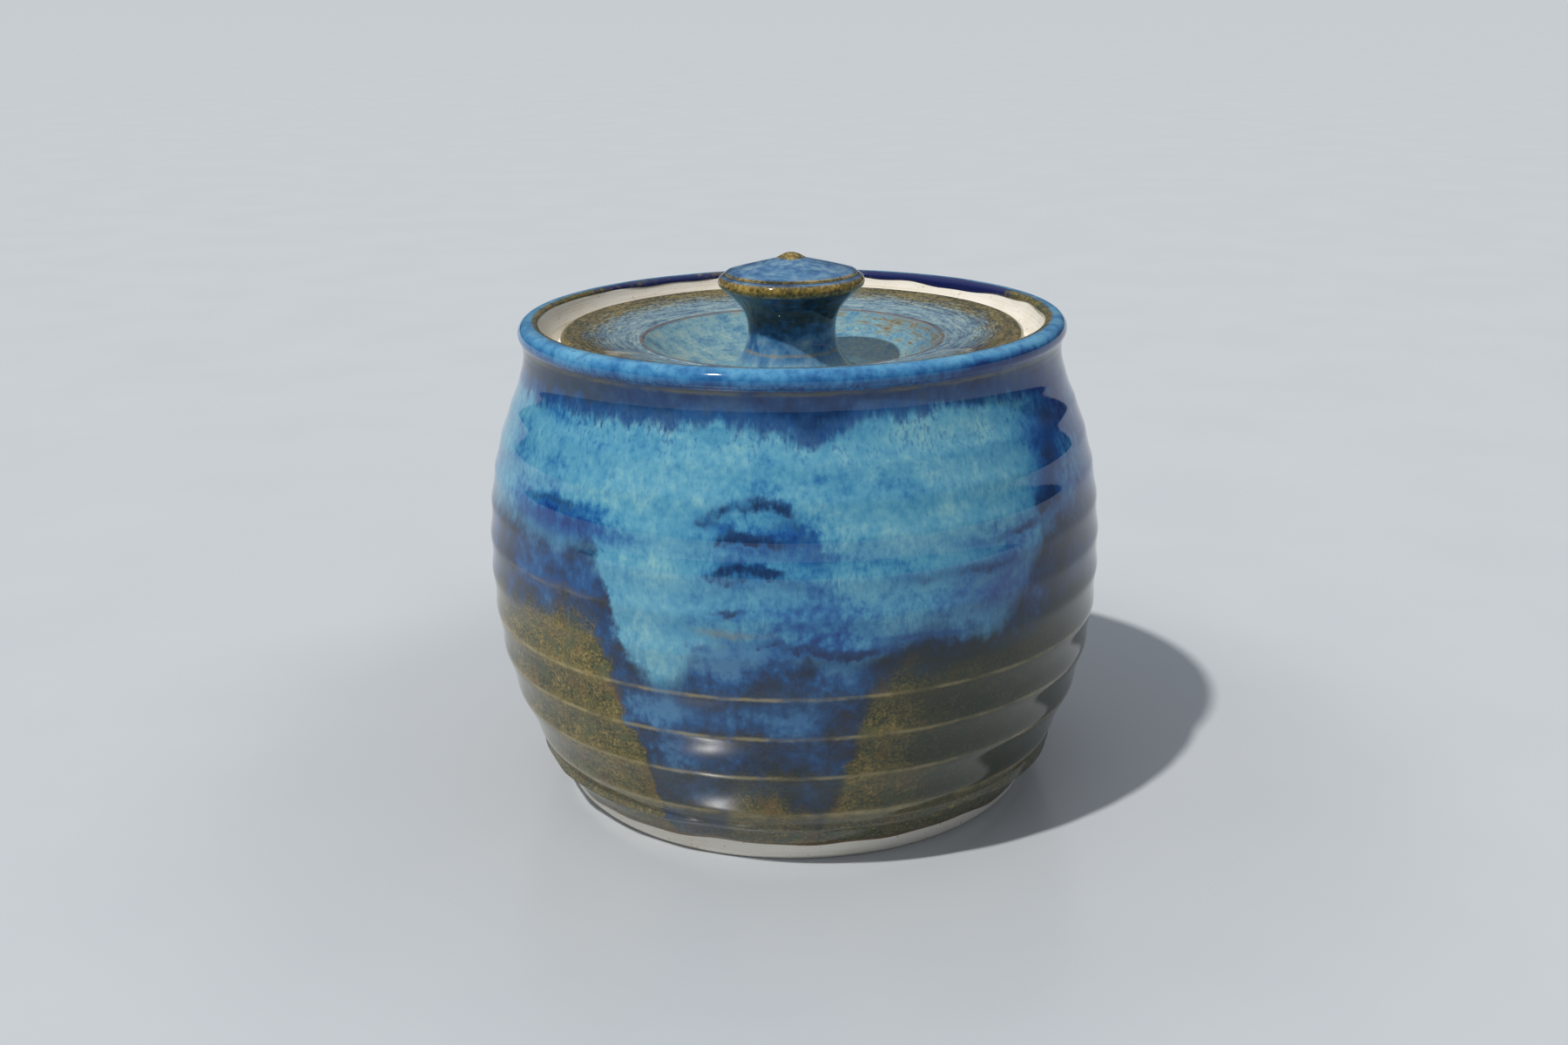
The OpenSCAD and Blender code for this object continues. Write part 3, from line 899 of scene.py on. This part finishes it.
# %% [markdown]
# ## The lid's glaze
# The lid was dipped and brushed as it turned: its rim is a grainy olive, a streaked blue
# ring runs inside that, a thin brown line stands on the raised ring, and the dish round
# the knob is pale, with rust at one side. Streaks that run round the lid need a noise that
# is looked up by bearing and radius instead of by x and y.

# %% Swirls of the lid
SWIRL_RADIUS, KNOB_REACH = 10.0, 18.5
lid_finish, shader, start = new_finish("lid_blue_glaze")
point = point_in_mm(start)
height, radius, bearing = around(point)
angle = bearing * math.radians(1)
round_x, round_y = angle.sum("SINE", angle), angle.sum("COSINE", angle)
swirl_point = start.node("CombineXYZ", {}, {
    "X": round_x * SWIRL_RADIUS, "Y": round_y * SWIRL_RADIUS, "Z": radius + 0.6 * height,
})
swirl = grain(swirl_point, 2.6, 1.3, detail=4.0, shift=3.0, rough=0.55) - 0.5
brush = grain(swirl_point, 1.0, 0.5, detail=2.0, shift=4.0) - 0.5
mottle = grain(point, 4.5, 4.5, detail=4.0, shift=5.0, rough=0.55) - 0.5
fleck = grain(point, 0.8, 0.8, detail=2.0, shift=8.0) - 0.5
on_knob = (KNOB_REACH - radius).rise(0.0, 1.0) * height.rise(101.0, 104.0)
print("swirls of the lid:", len(lid_finish.node_tree.nodes), "nodes")

# %% Colours of the lid's plate
LID_SPAN, RAISED_RING = 58.0, 35.4
olive = (0.5 + 1.6 * fleck + swirl + 0.8 * brush).ramp([
    (0.25, colour(50, 50, 28)), (0.5, colour(98, 88, 46)), (0.75, colour(132, 114, 62)),
])
blue_share = ((radius + 6.0 * mottle + 7.0 * swirl) / LID_SPAN).ramp([
    (0.0, 0.9), (0.5, 0.86), (0.62, 0.8), (0.72, 0.72), (0.80, 0.4), (0.86, 0.12), (1.0, 0.0),
])
plate_blue = (0.5 + 1.2 * swirl + 0.9 * brush + 0.5 * mottle + 0.6 * fleck).ramp([
    (0.15, colour(62, 86, 108)), (0.40, colour(96, 126, 146)), (0.60, colour(126, 154, 164)),
    (0.9, colour(168, 184, 178)),
])
rusty = 0.36 + 0.34 * round_x + 1.4 * mottle + 1.4 * swirl + brush + 0.05 * (radius - 30)
dish = (0.5 + 1.2 * mottle + 0.7 * fleck + 0.6 * swirl).ramp([
    (0.2, colour(70, 120, 150)), (0.5, colour(112, 154, 168)), (0.85, colour(158, 180, 170)),
])
dish = (rusty.rise(0.5, 1.1) * (0.75 + 1.6 * fleck)).mix(dish, colour(106, 86, 48))
in_dish = 1 - (radius + mottle).rise(RAISED_RING - 1.2, RAISED_RING)
blue_mask = (blue_share + 0.7 * brush + 0.5 * fleck).rise(0.15, 0.75)
plate = blue_mask.mix(olive, in_dish.mix(plate_blue, dish))
ring_line = abs(radius - RAISED_RING + 0.5 * mottle).fall(0.15, 0.75, 0.85)
ring_line = ring_line * (0.75 + 1.4 * fleck + 1.2 * swirl)
plate = ring_line.mix(plate, colour(104, 68, 36))
print("lid plate laid, with", len(lid_finish.node_tree.nodes), "nodes")

# %% [markdown]
# The knob's cap is blue and breaks to gold on its two beads and its tip, where the glaze
# runs thin over a bend. The waist is dark teal, partly its own glaze and partly painted shade
# of the cap, and the flare below it bright blue again.

# %% Colours of the knob
KNOB_FOOT, KNOB_SPAN = 98.0, 30.0
# Partly the teal glaze and partly painted shade of the cap: the tone drops low on the waist.
knob_tone = ((height - KNOB_FOOT) / KNOB_SPAN).ramp([
    (0.0, 0.62), (0.16, 0.60), (0.34, 0.57), (0.42, 0.34), (0.5, 0.2), (0.6, 0.18), (0.72, 0.24),
    (0.84, 0.56), (1.0, 0.58),
]) + 0.8 * swirl + 0.7 * mottle
knob_colour = knob_tone.ramp([
    (0.05, colour(12, 24, 32)), (0.22, colour(20, 50, 68)), (0.42, colour(32, 84, 130)),
    (0.6, colour(76, 122, 158)), (0.85, colour(132, 158, 172)),
])
thick_bead = height.between(119.2, 121.9, 0.35) * (radius + 0.6 * mottle).rise(15.0, 15.8)
thin_bead = height.between(122.2, 122.95, 0.2) * radius.between(14.3, 15.6, 0.3)
tip = (3.6 - radius + 1.2 * mottle).rise(-0.4, 0.8) * height.rise(125.0, 125.6)
gold = (0.5 + 1.5 * fleck + mottle + 0.8 * swirl).ramp([
    (0.2, colour(60, 58, 30)), (0.5, colour(116, 98, 44)), (0.8, colour(164, 138, 72)),
])
knob_colour = (thick_bead + thin_bead + tip).mix(knob_colour, gold)
groove = (radius + 0.2 * mottle).between(15.5, 15.9, 0.15) * height.between(121.8, 122.5, 0.15)
knob_colour = (groove * 0.8).mix(knob_colour, colour(30, 34, 24))
flare_line = (1 - abs(height - 104.9 + 1.2 * mottle).rise(0.15, 0.5)) * (0.5 + 1.6 * swirl)
knob_colour = (flare_line * 0.9).mix(knob_colour, colour(150, 132, 84))
feed(shader, "Base Color", on_knob.mix(plate, knob_colour))
feed(shader, "Roughness", 0.03 + 0.06 * grain(point, 3.0, 3.0, shift=95.0))
glass_relief(shader, point)
dress(lid_finish, lid_coat)

# %% [markdown]
# ## The studio
# The photograph is taken from a little above the rim, close by, with a short lens. A Track
# To constraint could aim the camera, but this one stands where a fit to the rim and foot
# ellipses puts it, with a small roll, so its place and turning are written out.

# %% Camera
CAMERA_AT = Vector((-2.45, -394.5, 187.7)) * MM
TILT, ROLL = math.radians(72.241), math.radians(-0.756)
camera_data = bpy.data.cameras.new("photo_camera")
camera_data.lens = 39.0
camera_data.sensor_width = 36.0
camera = bpy.data.objects.new("photo_camera", camera_data)
aim = Matrix.Rotation(TILT, 4, "X") @ Matrix.Rotation(ROLL, 4, "Z")
camera.matrix_world = Matrix.Translation(CAMERA_AT) @ aim
bpy.context.scene.collection.objects.link(camera)
bpy.context.scene.camera = camera
bpy.context.scene.view_settings.view_transform = "Standard"
print("camera at", [round(c, 4) for c in camera.location], "lens", camera_data.lens)

# %% [markdown]
# A long pale floor fills the whole picture, so no backdrop is needed. It takes the jar's
# shadow and gives some light back to the underside of the belly. It is polished round the
# jar and matt further out, so that the lamp's mirror image glints low on the wall while the
# rest of the floor stays plain.

# %% Floor
FLOOR_REACH = 60.0
POLISHED_TO, MATT_FROM = 95.0, 200.0
bm = bmesh.new()
bmesh.ops.create_grid(bm, x_segments=1, y_segments=1, size=FLOOR_REACH)
floor_mesh = bpy.data.meshes.new("pale_floor")
bm.to_mesh(floor_mesh)
bm.free()
floor = bpy.data.objects.new("pale_floor", floor_mesh)
bpy.context.scene.collection.objects.link(floor)
floor_finish, shader, start = new_finish("pale_floor")
point = point_in_mm(start)
radius = around(point)[1]
paint = grain(point, 60.0, 60.0, detail=3.0)
feed(shader, "Base Color", paint.mix(colour(186, 191, 196), colour(194, 198, 202)))
feed(shader, "Roughness", 0.22 + 0.68 * radius.rise(POLISHED_TO, MATT_FROM))
shader.inputs["Specular IOR Level"].default_value = 0.9
dress(floor_finish, floor)

# %% [markdown]
# One lamp stands high at the front left. The sky is brighter overhead than along the
# horizon, as in a room with a lit ceiling: a glossy wall shows the pale floor low down and
# a darker band above it, and that change is what makes glass look like glass.

# %% Lamp
LAMP_BEARING, LAMP_HEIGHT = math.radians(-48), math.radians(58)
lamp_data = bpy.data.lights.new("high_lamp", "SUN")
lamp_data.energy = 2.8
lamp_data.angle = math.radians(2)
lamp_data.color = (1.0, 0.98, 0.95)
lamp = bpy.data.objects.new("high_lamp", lamp_data)
lamp_way = Vector((math.sin(LAMP_BEARING), -math.cos(LAMP_BEARING), math.tan(LAMP_HEIGHT))).normalized()
lamp.location = lamp_way
lamp.rotation_euler = lamp_way.to_track_quat("Z", "Y").to_euler()
bpy.context.scene.collection.objects.link(lamp)
print("lamp comes from", [round(c, 3) for c in lamp_way])

# %% Sky
sky = bpy.data.worlds.new("grey_sky")
sky.use_nodes = True
bpy.context.scene.world = sky
start = Field(sky.node_tree)
direction = start.node("TexCoord", out="Generated")
upward = direction.node("SeparateXYZ", {}, {0: direction}, out="Z")
sky_colour = upward.ramp([
    (0.0, colour(60, 64, 70)), (0.5, colour(138, 142, 148)), (1.0, colour(200, 204, 210)),
])
sky_light = sky.node_tree.nodes["Background"]
feed(sky_light, "Color", sky_colour)
sky_light.inputs["Strength"].default_value = 1.0
print("sky of", len(sky.node_tree.nodes), "nodes")
